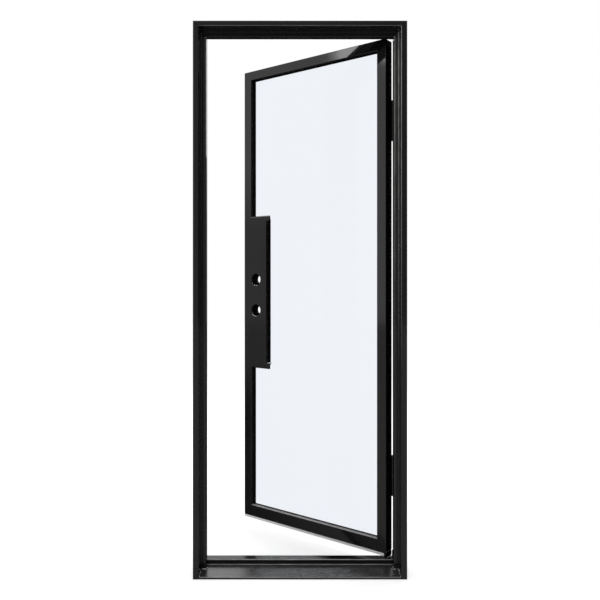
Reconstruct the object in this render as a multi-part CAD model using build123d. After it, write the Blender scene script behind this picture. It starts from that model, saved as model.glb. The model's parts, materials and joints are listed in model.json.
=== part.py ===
from build123d import *
import os

# A single glazed steel door leaf, hung in its own steel frame with a stepped threshold.
# Millimetres. X runs along the width, Y from the front to the back and Z upwards. The origin lies in
# the middle of the threshold's underside. The leaf is laid out closed and then swung open.

# Frame of rectangular tubes
frame_width = 815.0
frame_height = 2123.0
frame_depth = 148.0
frame_face = 23.0
head_face = 20.5
frame_wall = 2.5
frame_edge = 3.5

# Threshold with a sloped front and a raised step
sill_lip = 6.8
sill_slope_end = 13.0
sill_step_height = 32.0
sill_step_depth = 42.0
sill_wall = 2.5
sill_edge = 1.2
sill_fold = 3.5
sill_bend = 2.5

# Stop bars inside the frame
stop_setback = 66.0
stop_depth = 19.0
stop_projection = 19.0
stop_wall = 2.0
stop_edge = 2.5

# Bulb seals on the back of the stops
seal_width = 10.0
seal_proud = 1.0
seal_gap = 0.3
seal_wall = 1.5
seal_round = 3.0

# Leaf of hollow sections with a lip at the front and a rebate for the glass behind it
leaf_side_gap = 9.5
leaf_top_gap = 10.5
leaf_floor_gap = 25.0
leaf_thickness = 47.0
leaf_set_in = 8.0
stile_width = 42.0
stile_back_width = 19.0
top_rail_height = 41.0
bottom_rail_height = 48.0
lip_depth = 19.0
leaf_wall = 2.5
leaf_edge = 2.5
leaf_corner = 6.0
open_angle = 37.3

# Lock box, measured from the leaf's free edge and bottom edge
lock_box_reach = 131.0
lock_box_rise = 679.0
lock_box_height = 688.0
lock_box_lip = 23.0
lock_box_wall = 2.5
lock_box_edge = 2.0
tab_reach = 18.0
tab_height = 23.0
tab_thickness = 8.0
bore_radius = 27.0
bore_backset = 70.0
bore_spacing = 139.7
lower_bore_rise = 262.3
bore_sleeve_wall = 2.5
latch_bore_radius = 12.7

# Latch pockets in the strike jamb
pocket_width = 26.0
pocket_height = 58.0
pocket_edge = 4.0

# Holes that fix the jambs to a wall
wall_hole_radius = 4.0
wall_hole_end_inset = 160.0
wall_hole_place_shares = (0.0, 0.27, 0.73, 1.0)

# Glazing, from the front of the leaf to its back
outer_gasket_thickness = 3.0
gasket_seat = 8.0
gasket_proud = 4.0
pane_thickness = 4.0
pane_gap = 6.0
inner_gasket_thickness = 2.0
glass_edge_gap = 3.0
spacer_inset = 1.0
spacer_width = 7.0
bead_width = 12.0
setting_block_length = 100.0
setting_block_place_share = 0.25

# Screws of the beads and the sweep
screw_shank_radius = 1.75
screw_head_radius = 3.2
screw_head_height = 1.6
screw_grip = 3.0
screw_clearance = 0.1
bead_screw_spacing = 300.0
wiper_screw_spacing = 185.0

# Sweep under the bottom rail: a strip of wiper fins
wiper_base_height = 5.0
wiper_height = 13.0
wiper_front_inset = 1.5
wiper_side_inset = 2.0
wiper_fin = 4.0
wiper_fin_place_shares = (0.0, 1 / 3, 2 / 3, 1.0)

# Pad in the corner between the step, the hinge jamb and the leaf
corner_pad_reach = 5.0
corner_pad_height = 23.0

# Barrel hinges
barrel_offset = 11.0
barrel_clearance = 0.3
barrel_length = 79.0
barrel_round = 2.0
barrel_cap = 6.0
weld_pad_width = 8.0
weld_pad_inset = 4.0
weld_pad_gap = 0.8
pin_radius = 6.0
pin_seat_clearance = 0.02
pin_running_clearance = 0.05
pin_end_gap = 0.6
washer_thickness = 3.6
axial_clearance = 0.1
upper_hinge_drop = 315.0
lower_hinge_rise = 294.0

# Cuts run past the faces they start from
overrun = 2.0

# Places worked out from the sizes above
frame_front = -frame_depth / 2
frame_back = frame_depth / 2
jamb_inner = frame_width / 2 - frame_face
head_inner = frame_height - head_face
stop_front = frame_front + stop_setback
stop_back = stop_front + stop_depth
stop_inner = jamb_inner - stop_projection
stop_head_inner = head_inner - stop_projection
leaf_back = frame_back - leaf_set_in
leaf_front = leaf_back - leaf_thickness
leaf_right = jamb_inner - leaf_side_gap
leaf_left = -leaf_right
leaf_top = head_inner - leaf_top_gap
leaf_bottom = sill_step_height + leaf_floor_gap
glass_left = leaf_left + stile_width
glass_right = leaf_right - stile_width
glass_top = leaf_top - top_rail_height
glass_bottom = leaf_bottom + bottom_rail_height
box_right = leaf_left + lock_box_reach
box_bottom = leaf_bottom + lock_box_rise
box_top = box_bottom + lock_box_height
back_share = stile_back_width / stile_width
back_left = leaf_left + stile_back_width
back_right = leaf_right - stile_back_width
back_top = leaf_top - top_rail_height * back_share
back_bottom = leaf_bottom + bottom_rail_height * back_share
box_back_right = box_right - lock_box_lip
box_back_bottom = box_bottom + lock_box_lip
box_back_top = box_top - lock_box_lip
bore_x = leaf_left + bore_backset
lower_bore_z = box_bottom + lower_bore_rise
bore_heights = (lower_bore_z, lower_bore_z + bore_spacing)
leaf_middle = (leaf_front + leaf_back) / 2
hinge_x = jamb_inner - barrel_offset
hinge_y = leaf_back + barrel_offset
barrel_radius = barrel_offset - barrel_clearance

lip_back = leaf_front + lip_depth
outer_pane_front = lip_back + outer_gasket_thickness
spacer_front = outer_pane_front + pane_thickness
inner_pane_front = spacer_front + pane_gap
inner_gasket_front = inner_pane_front + pane_thickness
bead_front = inner_gasket_front + inner_gasket_thickness
bead_middle = (bead_front + leaf_back) / 2


# Round bars stand on their lower end
on_end = (Align.CENTER, Align.CENTER, Align.MIN)


def block(x0, x1, y0, y1, z0, z1):
    """A box between two corners."""
    return Pos((x0 + x1) / 2, (y0 + y1) / 2, (z0 + z1) / 2) * Box(x1 - x0, y1 - y0, z1 - z0)


def prism(outline, front, back):
    """A solid with the given outline in X and Z, from front to back."""
    return extrude(Plane.XZ.offset(-back) * outline, back - front, dir=(0, -1, 0))


def tube_section(width, depth, wall, edge):
    """A rectangular tube's section, with one corner at zero."""
    skin = RectangleRounded(width, depth, edge)
    hollow = Rectangle(width - 2 * wall, depth - 2 * wall)
    return Pos(width / 2, depth / 2) * (skin - hollow)


def bulb_section(width, depth, wall, rounding):
    """A hollow seal's section, flat at the front and rounded at the back."""
    def half_round(inset):
        corners = (
            (inset, inset),
            (width - inset, inset),
            (width - inset, depth - inset),
            (inset, depth - inset),
        )
        back_round = rounding - inset
        line = FilletPolyline(*corners, radius=(0, 0, back_round, back_round), close=True)
        return make_face(line)
    return half_round(0) - half_round(wall)


def portal(section, lintel_section, inner_x, inner_z, width, lintel_height, front, back):
    """Two uprights and a lintel, mitred at the top corners."""
    outer_x = inner_x + width
    outer_z = inner_z + lintel_height
    upright_outline = Polygon((inner_x, 0), (outer_x, 0), (outer_x, outer_z), (inner_x, inner_z))
    lintel_outline = Polygon(
        (-inner_x, inner_z), (inner_x, inner_z), (outer_x, outer_z), (-outer_x, outer_z)
    )
    upright = extrude(Pos(inner_x, front, 0) * section, outer_z, dir=(0, 0, 1))
    upright = upright & prism(upright_outline, front, back)
    along_lintel = Plane(origin=(outer_x, front, inner_z), x_dir=(0, 0, 1), z_dir=(-1, 0, 0))
    lintel = extrude(along_lintel * lintel_section, 2 * outer_x, dir=(-1, 0, 0))
    lintel = lintel & prism(lintel_outline, front, back)
    return upright, mirror(upright, about=Plane.YZ), lintel


def notched(left, right, low, high, box_side, box_low, box_high):
    """An opening's outline, notched round the lock box."""
    return Polygon(
        (left, low),
        (right, low),
        (right, high),
        (left, high),
        (left, box_high),
        (box_side, box_high),
        (box_side, box_low),
        (left, box_low),
    )


def daylight(inset):
    """The opening between the lips, drawn in by inset."""
    return notched(
        glass_left + inset,
        glass_right - inset,
        glass_bottom + inset,
        glass_top - inset,
        box_right + inset,
        box_bottom - inset,
        box_top + inset,
    )


def rebate(inset):
    """The wider opening behind the lips, drawn in by inset."""
    return notched(
        back_left + inset,
        back_right - inset,
        back_bottom + inset,
        back_top - inset,
        box_back_right + inset,
        box_back_bottom - inset,
        box_back_top + inset,
    )


def glazing_ring(outer, inner, front, thickness):
    """A strip round the glass, between two outlines."""
    return prism(outer - inner, front, front + thickness)


def across_y(radius, x, z, front, back):
    """A round bar along Y, used for cutting."""
    middle = Pos(x, (front + back) / 2, z) * Rot(90, 0, 0)
    return middle * Cylinder(radius, back - front)


def across_x(radius, y, z, left, right):
    """A round bar along X, used for cutting."""
    middle = Pos((left + right) / 2, y, z) * Rot(0, 90, 0)
    return middle * Cylinder(radius, right - left)


def screw(place, direction, grip, play):
    """A countersunk screw that enters at place; play makes it the hole instead."""
    shank = Cylinder(screw_shank_radius + play, grip + play, align=on_end)
    head_cone = Cone(screw_head_radius + play, screw_shank_radius + play, screw_head_height, align=on_end)
    return Plane(origin=place, z_dir=direction) * (shank + head_cone)


def swing(part):
    """Turns a piece of the leaf about the hinge axis, from closed to its resting place."""
    return part.rotate(Axis((hinge_x, hinge_y, 0), (0, 0, 1)), -open_angle)


# Threshold: one closed sheet section between the jambs
sill_riser = frame_back - sill_step_depth
sill_corners = (
    (frame_front, 0),
    (frame_back, 0),
    (frame_back, sill_step_height),
    (sill_riser, sill_step_height),
    (sill_riser, sill_slope_end),
    (frame_front, sill_lip),
)
sill_radii = (sill_edge, sill_edge, sill_fold, sill_fold, sill_bend, sill_fold)
sill_outline = make_face(FilletPolyline(*sill_corners, radius=sill_radii, close=True))
sill_hollow = Polygon(
    (frame_front + sill_wall, sill_wall),
    (frame_back - sill_wall, sill_wall),
    (frame_back - sill_wall, sill_step_height - sill_wall),
    (sill_riser + sill_wall, sill_step_height - sill_wall),
    (sill_riser + sill_wall, sill_slope_end - sill_wall),
    (frame_front + sill_wall, sill_lip - sill_wall),
)
sill_blank = extrude(Plane.YZ.offset(-jamb_inner) * sill_outline, 2 * jamb_inner, dir=(1, 0, 0))
sill_core = extrude(Plane.YZ.offset(-jamb_inner) * sill_hollow, 2 * jamb_inner, dir=(1, 0, 0))
threshold = sill_blank - sill_core

# Jambs and head
frame_section = tube_section(frame_face, frame_depth, frame_wall, frame_edge)
head_section = tube_section(head_face, frame_depth, frame_wall, frame_edge)
hinge_jamb, strike_jamb, head = portal(
    frame_section, head_section, jamb_inner, head_inner, frame_face, head_face, frame_front, frame_back
)
wall_hole_run = frame_height - 2 * wall_hole_end_inset
wall_hole_heights = [wall_hole_end_inset + share * wall_hole_run for share in wall_hole_place_shares]
jamb_outer = frame_width / 2
hinge_jamb -= [
    across_x(wall_hole_radius, leaf_middle, z, jamb_inner - overrun, jamb_outer + overrun)
    for z in wall_hole_heights
]
strike_jamb -= [
    across_x(wall_hole_radius, leaf_middle, z, -jamb_outer - overrun, -jamb_inner + overrun)
    for z in wall_hole_heights
]
pocket_profile = RectangleRounded(pocket_width, pocket_height, pocket_edge)
for height in bore_heights:
    pocket_start = (-jamb_inner + overrun, leaf_middle, height)
    pocket_plane = Plane(origin=pocket_start, x_dir=(0, 1, 0), z_dir=(1, 0, 0))
    strike_jamb -= extrude(pocket_plane * pocket_profile, frame_wall + 2 * overrun, dir=(-1, 0, 0))

# Stop bars and their seals, cut to the threshold's slope
stop_section = tube_section(stop_projection, stop_depth, stop_wall, stop_edge)
hinge_stop, strike_stop, head_stop = portal(
    stop_section,
    stop_section,
    stop_inner,
    stop_head_inner,
    stop_projection,
    stop_projection,
    stop_front,
    stop_back,
)
seal_depth = leaf_front - stop_back - seal_gap
seal_section = bulb_section(seal_width, seal_depth, seal_wall, seal_round)
hinge_weatherstrip, strike_weatherstrip, head_weatherstrip = portal(
    seal_section,
    seal_section,
    stop_inner - seal_proud,
    stop_head_inner - seal_proud,
    seal_width,
    seal_width,
    stop_back,
    stop_back + seal_depth,
)
hinge_stop -= sill_blank
strike_stop -= sill_blank
hinge_weatherstrip -= sill_blank
strike_weatherstrip -= sill_blank

# Pad that closes the corner under the leaf's hinge edge; it stays inside the sweep's turning circle
step_back = frame_back - sill_fold
hinge_corner_pad = block(
    hinge_x - corner_pad_reach,
    jamb_inner,
    leaf_back,
    step_back,
    sill_step_height,
    sill_step_height + corner_pad_height,
)

# Stiles and rails, mitred, with the leaf's four corners rounded
leaf_width = leaf_right - leaf_left
leaf_height = leaf_top - leaf_bottom
leaf_outline = Pos(0, (leaf_top + leaf_bottom) / 2) * RectangleRounded(leaf_width, leaf_height, leaf_corner)
leaf_blank = prism(leaf_outline, leaf_front, leaf_back)


def rebated_section(width, back_width):
    """The leaf's hollow section, from its outer edge inwards and from its front to its back."""
    corners = (
        (0, 0),
        (width, 0),
        (width, lip_depth),
        (back_width, lip_depth),
        (back_width, leaf_thickness),
        (0, leaf_thickness),
    )
    corner_radii = (leaf_edge, leaf_edge, 0, 0, leaf_edge, leaf_edge)
    skin = make_face(FilletPolyline(*corners, radius=corner_radii, close=True))
    hollow = Polygon(
        (leaf_wall, leaf_wall),
        (width - leaf_wall, leaf_wall),
        (width - leaf_wall, lip_depth - leaf_wall),
        (back_width - leaf_wall, lip_depth - leaf_wall),
        (back_width - leaf_wall, leaf_thickness - leaf_wall),
        (leaf_wall, leaf_thickness - leaf_wall),
    )
    return skin - hollow


def stile():
    """The upright section at the free edge, mitred at both ends."""
    section = rebated_section(stile_width, stile_back_width)
    bar = extrude(Pos(leaf_left, leaf_front, leaf_bottom) * section, leaf_height, dir=(0, 0, 1))
    mitred = Polygon(
        (leaf_left, leaf_bottom), (glass_left, glass_bottom), (glass_left, glass_top), (leaf_left, leaf_top)
    )
    return bar & prism(mitred, leaf_front, leaf_back) & leaf_blank


def rail(height, outer, inner, upward):
    """A level section that lies along the leaf's outer edge, mitred at both ends."""
    start = (upward * leaf_right, leaf_front, outer)
    along_rail = Plane(origin=start, x_dir=(0, 0, upward), z_dir=(-upward, 0, 0))
    section = rebated_section(height, height * back_share)
    bar = extrude(along_rail * section, leaf_width, dir=(-upward, 0, 0))
    mitred = Polygon((leaf_left, outer), (leaf_right, outer), (glass_right, inner), (glass_left, inner))
    return bar & prism(mitred, leaf_front, leaf_back) & leaf_blank


lock_stile = stile()
hinge_stile = mirror(lock_stile, about=Plane.YZ)
top_rail = rail(top_rail_height, leaf_top, glass_top, -1)
bottom_rail = rail(bottom_rail_height, leaf_bottom, glass_bottom, 1)

# Lock box: a hollow sheet box, ground flush with the stile, with two tabs at its ends and a sleeve
# round each bore that keeps the two faces apart
box_front = block(glass_left, box_right, leaf_front, lip_back, box_bottom, box_top)
box_front = fillet(box_front.edges().group_by(Axis.Y)[0], lock_box_edge)
box_back = block(back_left, box_back_right, lip_back, leaf_back, box_back_bottom, box_back_top)
box_skin = box_front + box_back
front_hollow = block(
    glass_left + lock_box_wall,
    box_right - lock_box_wall,
    leaf_front + lock_box_wall,
    lip_back - lock_box_wall,
    box_bottom + lock_box_wall,
    box_top - lock_box_wall,
)
back_hollow = block(
    back_left + lock_box_wall,
    box_back_right - lock_box_wall,
    lip_back + lock_box_wall,
    leaf_back - lock_box_wall,
    box_back_bottom + lock_box_wall,
    box_back_top - lock_box_wall,
)
passage = block(
    glass_left + lock_box_wall,
    box_back_right - lock_box_wall,
    lip_back - lock_box_wall,
    lip_back + lock_box_wall,
    box_back_bottom + lock_box_wall,
    box_back_top - lock_box_wall,
)
box_hollow = front_hollow + back_hollow + passage
weld = block(
    glass_left - leaf_edge,
    glass_left + lock_box_edge,
    leaf_front,
    leaf_front + max(leaf_edge, lock_box_edge),
    box_bottom,
    box_top,
)
tab_back = leaf_front + tab_thickness
tab_right = box_right + tab_reach
tab_left = box_right - lock_box_wall
lower_tab = block(tab_left, tab_right, leaf_front, tab_back, box_bottom, box_bottom + tab_height)
lower_tab = fillet(lower_tab.edges().group_by(Axis.Y)[0].sort_by(Axis.X)[1:], lock_box_edge)
upper_tab = block(tab_left, tab_right, leaf_front, tab_back, box_top - tab_height, box_top)
upper_tab = fillet(upper_tab.edges().group_by(Axis.Y)[0].sort_by(Axis.X)[1:], lock_box_edge)
lock_box = box_skin - box_hollow + (weld - lock_stile) + [lower_tab, upper_tab]
sleeve_radius = bore_radius + bore_sleeve_wall
sleeve_front = leaf_front + lock_box_wall
sleeve_back = leaf_back - lock_box_wall
for height in bore_heights:
    lock_box += across_y(sleeve_radius, bore_x, height, sleeve_front, sleeve_back) & box_skin
    lock_box -= across_y(bore_radius, bore_x, height, leaf_front - overrun, leaf_back + overrun)
    latch_bore = across_x(latch_bore_radius, leaf_middle, height, leaf_left - overrun, bore_x)
    lock_box -= latch_bore
    lock_stile -= latch_bore

# Glazing, from the outer gasket to the inner one
outer_gasket = glazing_ring(
    daylight(-gasket_seat), daylight(gasket_proud), lip_back, outer_gasket_thickness
)
outer_pane = prism(rebate(glass_edge_gap), outer_pane_front, spacer_front)
inner_pane = prism(rebate(glass_edge_gap), inner_pane_front, inner_gasket_front)
spacer_edge = glass_edge_gap + spacer_inset
glass_spacer = glazing_ring(rebate(spacer_edge), rebate(spacer_edge + spacer_width), spacer_front, pane_gap)
inner_gasket = glazing_ring(rebate(0), rebate(bead_width), inner_gasket_front, inner_gasket_thickness)
setting_blocks = []
for side in (-1, 1):
    middle = side * (back_right - back_left) * setting_block_place_share
    setting_blocks.append(
        block(
            middle - setting_block_length / 2,
            middle + setting_block_length / 2,
            outer_pane_front,
            inner_gasket_front,
            back_bottom,
            back_bottom + glass_edge_gap,
        )
    )

# Beads: each is a bar (left, right, low, high) and the way its screws go
corner_right = box_back_right + bead_width
lock_side_right = back_left + bead_width
side_low = back_bottom + bead_width
side_high = back_top - bead_width
beads = {
    "bead_top": (back_left, back_right, side_high, back_top, (0, 0, 1)),
    "bead_bottom": (back_left, back_right, back_bottom, side_low, (0, 0, -1)),
    "bead_hinge_side": (back_right - bead_width, back_right, side_low, side_high, (1, 0, 0)),
    "bead_lock_upper": (back_left, lock_side_right, box_back_top + bead_width, side_high, (-1, 0, 0)),
    "bead_lock_lower": (back_left, lock_side_right, side_low, box_back_bottom - bead_width, (-1, 0, 0)),
    "bead_box_top": (back_left, corner_right, box_back_top, box_back_top + bead_width, (0, 0, -1)),
    "bead_box_bottom": (back_left, corner_right, box_back_bottom - bead_width, box_back_bottom, (0, 0, 1)),
    "bead_box_side": (box_back_right, corner_right, box_back_bottom, box_back_top, (-1, 0, 0)),
}
bead_grip = bead_width + leaf_wall + screw_grip
bead_parts = {}
bead_screws = []
bead_holes = []
for name, (left, right, low, high, direction) in beads.items():
    level = direction[0] == 0
    run = right - left if level else high - low
    count = max(1, round(run / bead_screw_spacing))
    holes = []
    for index in range(count):
        along = (index + 0.5) / count * run
        if level:
            place = (left + along, bead_middle, low if direction[2] > 0 else high)
        else:
            place = (left if direction[0] > 0 else right, bead_middle, low + along)
        bead_screws.append(screw(place, direction, bead_grip, 0))
        holes.append(screw(place, direction, bead_grip, screw_clearance))
    bead_parts[name] = block(left, right, bead_front, leaf_back, low, high) - holes
    bead_holes += holes
lock_stile -= bead_holes
hinge_stile -= bead_holes
top_rail -= bead_holes
bottom_rail -= bead_holes
lock_box -= bead_holes

# Sweep: a base with fins, screwed to the bottom rail
wiper_front = leaf_front + wiper_front_inset
wiper_back = leaf_back - wiper_front_inset
wiper_left = leaf_left + wiper_side_inset
wiper_right = leaf_right - wiper_side_inset
wiper_base = leaf_bottom - wiper_base_height
door_sweep = block(wiper_left, wiper_right, wiper_front, wiper_back, wiper_base, leaf_bottom)
for place_share in wiper_fin_place_shares:
    fin_front = wiper_front + place_share * (wiper_back - wiper_front - wiper_fin)
    door_sweep += block(
        wiper_left, wiper_right, fin_front, fin_front + wiper_fin, leaf_bottom - wiper_height, wiper_base
    )
wiper_grip = wiper_base_height + leaf_wall + screw_grip
wiper_screws = []
wiper_run = wiper_right - wiper_left
wiper_count = round(wiper_run / wiper_screw_spacing)
for index in range(wiper_count):
    place = (wiper_left + (index + 0.5) / wiper_count * wiper_run, leaf_middle, wiper_base)
    wiper_screws.append(screw(place, (0, 0, 1), wiper_grip, 0))
    wiper_hole = screw(place, (0, 0, 1), wiper_grip, screw_clearance)
    door_sweep -= wiper_hole
    bottom_rail -= wiper_hole


def barrel(low, high, closed_end, pad, bore):
    """A barrel with one rounded closed end, a blind bore and a pad that is welded on."""
    body = Pos(hinge_x, hinge_y, low) * Cylinder(barrel_radius, high - low, align=on_end)
    ends = body.edges().filter_by(GeomType.CIRCLE).sort_by(Axis.Z)
    body = fillet(ends[-1] if closed_end > 0 else ends[0], barrel_round)
    bore_low = low - overrun if closed_end > 0 else low + barrel_cap
    bore_high = high - barrel_cap if closed_end > 0 else high + overrun
    hole = Pos(hinge_x, hinge_y, bore_low) * Cylinder(bore, bore_high - bore_low, align=on_end)
    return body + pad - hole


def hinge(centre):
    """The pieces of one hinge: the jamb's barrel, the leaf's barrel, the pin and the washer."""
    half_gap = washer_thickness / 2 + axial_clearance
    low = centre - half_gap - barrel_length
    high = centre + half_gap + barrel_length
    jamb_pad = block(
        jamb_inner - weld_pad_width,
        jamb_inner,
        leaf_back + weld_pad_gap,
        frame_back - frame_edge,
        low + weld_pad_inset,
        centre - half_gap - weld_pad_inset,
    )
    leaf_pad = block(
        hinge_x - weld_pad_width,
        hinge_x,
        leaf_back,
        hinge_y,
        centre + half_gap + weld_pad_inset,
        high - weld_pad_inset,
    )
    jamb_barrel = barrel(low, centre - half_gap, -1, jamb_pad, pin_radius + pin_seat_clearance)
    leaf_barrel = barrel(centre + half_gap, high, 1, leaf_pad, pin_radius + pin_running_clearance)
    pin_low = low + barrel_cap
    pin_high = high - barrel_cap - pin_end_gap
    pin = Pos(hinge_x, hinge_y, pin_low) * Cylinder(pin_radius, pin_high - pin_low, align=on_end)
    washer_place = Pos(hinge_x, hinge_y, centre)
    washer = washer_place * Cylinder(barrel_radius, washer_thickness)
    washer -= washer_place * Cylinder(pin_radius + pin_running_clearance, washer_thickness + overrun)
    return jamb_barrel, leaf_barrel, pin, washer


upper_jamb_barrel, upper_leaf_barrel, upper_pin, upper_washer = hinge(leaf_top - upper_hinge_drop)
lower_jamb_barrel, lower_leaf_barrel, lower_pin, lower_washer = hinge(leaf_bottom + lower_hinge_rise)

fixed_parts = {
    "head": head,
    "hinge_jamb": hinge_jamb,
    "strike_jamb": strike_jamb,
    "threshold": threshold,
    "head_stop": head_stop,
    "hinge_stop": hinge_stop,
    "strike_stop": strike_stop,
    "head_weatherstrip": head_weatherstrip,
    "hinge_weatherstrip": hinge_weatherstrip,
    "strike_weatherstrip": strike_weatherstrip,
    "hinge_corner_pad": hinge_corner_pad,
    "upper_hinge_jamb_barrel": upper_jamb_barrel,
    "upper_hinge_pin": upper_pin,
    "upper_hinge_washer": upper_washer,
    "lower_hinge_jamb_barrel": lower_jamb_barrel,
    "lower_hinge_pin": lower_pin,
    "lower_hinge_washer": lower_washer,
}
leaf_parts = {
    "lock_stile": lock_stile,
    "hinge_stile": hinge_stile,
    "top_rail": top_rail,
    "bottom_rail": bottom_rail,
    "lock_box": lock_box,
    "outer_gasket": outer_gasket,
    "outer_pane": outer_pane,
    "glass_spacer": glass_spacer,
    "inner_pane": inner_pane,
    "inner_gasket": inner_gasket,
    "setting_blocks": Compound(setting_blocks),
    "bead_screws": Compound(bead_screws),
    "door_sweep": door_sweep,
    "sweep_screws": Compound(wiper_screws),
    "upper_hinge_leaf_barrel": upper_leaf_barrel,
    "lower_hinge_leaf_barrel": lower_leaf_barrel,
}
leaf_parts.update(bead_parts)

os.makedirs("parts", exist_ok=True)
for name, part in fixed_parts.items():
    export_step(part, f"parts/{name}.step")
for name, part in leaf_parts.items():
    export_step(swing(part), f"parts/{name}.step")
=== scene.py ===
# %% [markdown]
# # A black steel door in its frame
#
# This lesson dresses a glazed steel door: a slim welded leaf with one clear glass unit and a flat lock
# box, standing open in a welded frame with a stepped threshold. The construction arrives as a finished
# frame of parts, all in metres and all in place. Here we give every part its finish, and model by hand
# the small things that a maker's eye looks for, such as welds and screw heads.

# %% Load the parts
import bpy
import bmesh
import json
import math
import numpy as np
from mathutils import Matrix, Vector


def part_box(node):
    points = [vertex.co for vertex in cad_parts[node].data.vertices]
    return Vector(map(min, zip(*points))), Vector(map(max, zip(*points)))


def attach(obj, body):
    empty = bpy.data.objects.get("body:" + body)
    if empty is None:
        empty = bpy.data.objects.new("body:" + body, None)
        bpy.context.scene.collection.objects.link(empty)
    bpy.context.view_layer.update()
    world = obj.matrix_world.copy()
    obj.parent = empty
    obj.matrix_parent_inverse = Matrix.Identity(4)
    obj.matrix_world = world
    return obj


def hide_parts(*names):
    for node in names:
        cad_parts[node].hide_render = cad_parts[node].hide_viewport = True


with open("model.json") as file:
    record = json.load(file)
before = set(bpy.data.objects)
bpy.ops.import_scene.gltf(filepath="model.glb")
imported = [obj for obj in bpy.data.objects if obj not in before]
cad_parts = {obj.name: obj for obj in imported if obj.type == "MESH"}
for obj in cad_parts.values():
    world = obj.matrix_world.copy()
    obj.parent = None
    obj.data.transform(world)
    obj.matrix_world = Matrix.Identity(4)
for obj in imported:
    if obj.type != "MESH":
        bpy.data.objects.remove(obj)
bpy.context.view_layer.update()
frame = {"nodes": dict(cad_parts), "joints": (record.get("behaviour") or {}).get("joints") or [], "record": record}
nodes = frame["nodes"]
scene = bpy.context.scene

# %% [markdown]
# ## The camera
#
# The door is seen straight on, by someone standing in the middle of the opening with their eyes a little
# above its half height. A level camera keeps all upright lines upright. The picture's middle then lies too
# high for a frame that stands on the floor, so the lens is shifted down instead of tilted.

# %% Camera
camera_distance = 2.627
camera_height = 1.1446
camera_lens = 40.35
camera_sensor = 36.0
horizon_rise_share = 0.0366
level_view = math.radians(90)

camera_data = bpy.data.cameras.new("door_camera")
camera_data.lens = camera_lens
camera_data.sensor_width = camera_sensor
camera_data.shift_y = -horizon_rise_share
camera = bpy.data.objects.new("door_camera", camera_data)
camera.location = (0, -camera_distance, camera_height)
camera.rotation_euler = (level_view, 0, 0)
scene.collection.objects.link(camera)
scene.camera = camera
scene.view_settings.view_transform = "Standard"
print("camera", tuple(round(v, 3) for v in camera.location))

# %% [markdown]
# ## The surround
#
# A black door is drawn by what it mirrors, so its surround matters more than its lamps. A picture of a room
# could be wrapped round it, but a few ramps over the direction of a ray do the same and load nothing. The
# camera and the glass see plain white. In gloss the surround is white behind the door and on its left, and
# falls off towards the viewer, the right and the horizon, as a room does.

# %% Node helpers
camera_ray = "Is Camera Ray"
onward_rays = ("Is Glossy Ray", "Is Transmission Ray")


def join(tree, source, target):
    """Connects one node's socket to another."""
    tree.links.new(source, target)


def calculate(tree, operation, first, second):
    """A sum with two sides, each of them a socket or a number."""
    sum_node = tree.nodes.new("ShaderNodeMath")
    sum_node.operation = operation
    for socket, side in zip(sum_node.inputs, (first, second)):
        if isinstance(side, (int, float)):
            socket.default_value = side
        else:
            join(tree, side, socket)
    return sum_node.outputs[0]


def between(tree, value, start, end, low, high):
    """Goes from low to high while the value goes from start to end, and stays there outside."""
    ease = tree.nodes.new("ShaderNodeMapRange")
    ease.inputs["From Min"].default_value = start
    ease.inputs["From Max"].default_value = end
    ease.inputs["To Min"].default_value = low
    ease.inputs["To Max"].default_value = high
    join(tree, value, ease.inputs["Value"])
    return ease.outputs["Result"]


def axis_of(tree, place, letter):
    """One coordinate of a place or a direction."""
    axes = tree.nodes.new("ShaderNodeSeparateXYZ")
    join(tree, place, axes.inputs[0])
    return axes.outputs[letter]


def rays(tree, *kinds):
    """One for rays of any of these kinds, and zero for the rest."""
    light_path = tree.nodes.new("ShaderNodeLightPath").outputs
    any_ray = light_path[kinds[0]]
    for kind in kinds[1:]:
        any_ray = calculate(tree, "MAXIMUM", any_ray, light_path[kind])
    return any_ray


def seen_straight(tree):
    """One for the camera's own rays and those that went on through glass, but not for mirrored ones."""
    light_path = tree.nodes.new("ShaderNodeLightPath").outputs
    transmitted = light_path["Is Transmission Ray"]
    through_glass = calculate(tree, "GREATER_THAN", transmitted, light_path["Glossy Depth"])
    return calculate(tree, "MAXIMUM", light_path[camera_ray], through_glass)


def switch(tree, share, usual, other):
    """One shader where the share is zero, and the other where it is one."""
    mix = tree.nodes.new("ShaderNodeMixShader")
    join(tree, share, mix.inputs["Fac"])
    join(tree, usual.outputs[0], mix.inputs[1])
    join(tree, other.outputs[0], mix.inputs[2])
    return mix.outputs[0]


print("the background shows to:", ", ".join((camera_ray, *onward_rays)))

# %% Surround
surround_light = 0.75
white = (1, 1, 1, 1)
viewer_gloss = 0.36
viewer_side = (-0.9, -0.4)
right_gloss = 0.06
right_side = (0.02, 0.3)
horizon_gloss = 0.5
horizon_side = (-0.36, -0.22)
horizon_band = (-0.02, 0.16)

world = bpy.data.worlds.new("white_surround")
scene.world = world
world.use_nodes = True
tree = world.node_tree
lighting = tree.nodes["Background"]
lighting.inputs["Color"].default_value = white
lighting.inputs["Strength"].default_value = surround_light
direction = tree.nodes.new("ShaderNodeTexCoord").outputs["Generated"]
forward = axis_of(tree, direction, "Y")
off_viewer = between(tree, forward, *viewer_side, viewer_gloss, 1.0)
off_right = between(tree, axis_of(tree, direction, "X"), *right_side, 1.0, right_gloss)
off_horizon = between(tree, forward, *horizon_side, 1.0, horizon_gloss)
above_horizon = between(tree, axis_of(tree, direction, "Z"), *horizon_band, 0.0, 1.0)
height_share = calculate(tree, "MAXIMUM", off_horizon, above_horizon)
gloss = calculate(tree, "MULTIPLY", off_viewer, off_right)
gloss = calculate(tree, "MULTIPLY", gloss, height_share)
backdrop = tree.nodes.new("ShaderNodeBackground")
backdrop.inputs["Color"].default_value = white
join(tree, calculate(tree, "MAXIMUM", gloss, seen_straight(tree)), backdrop.inputs["Strength"])
surround = switch(tree, rays(tree, camera_ray, *onward_rays), lighting, backdrop)
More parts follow.
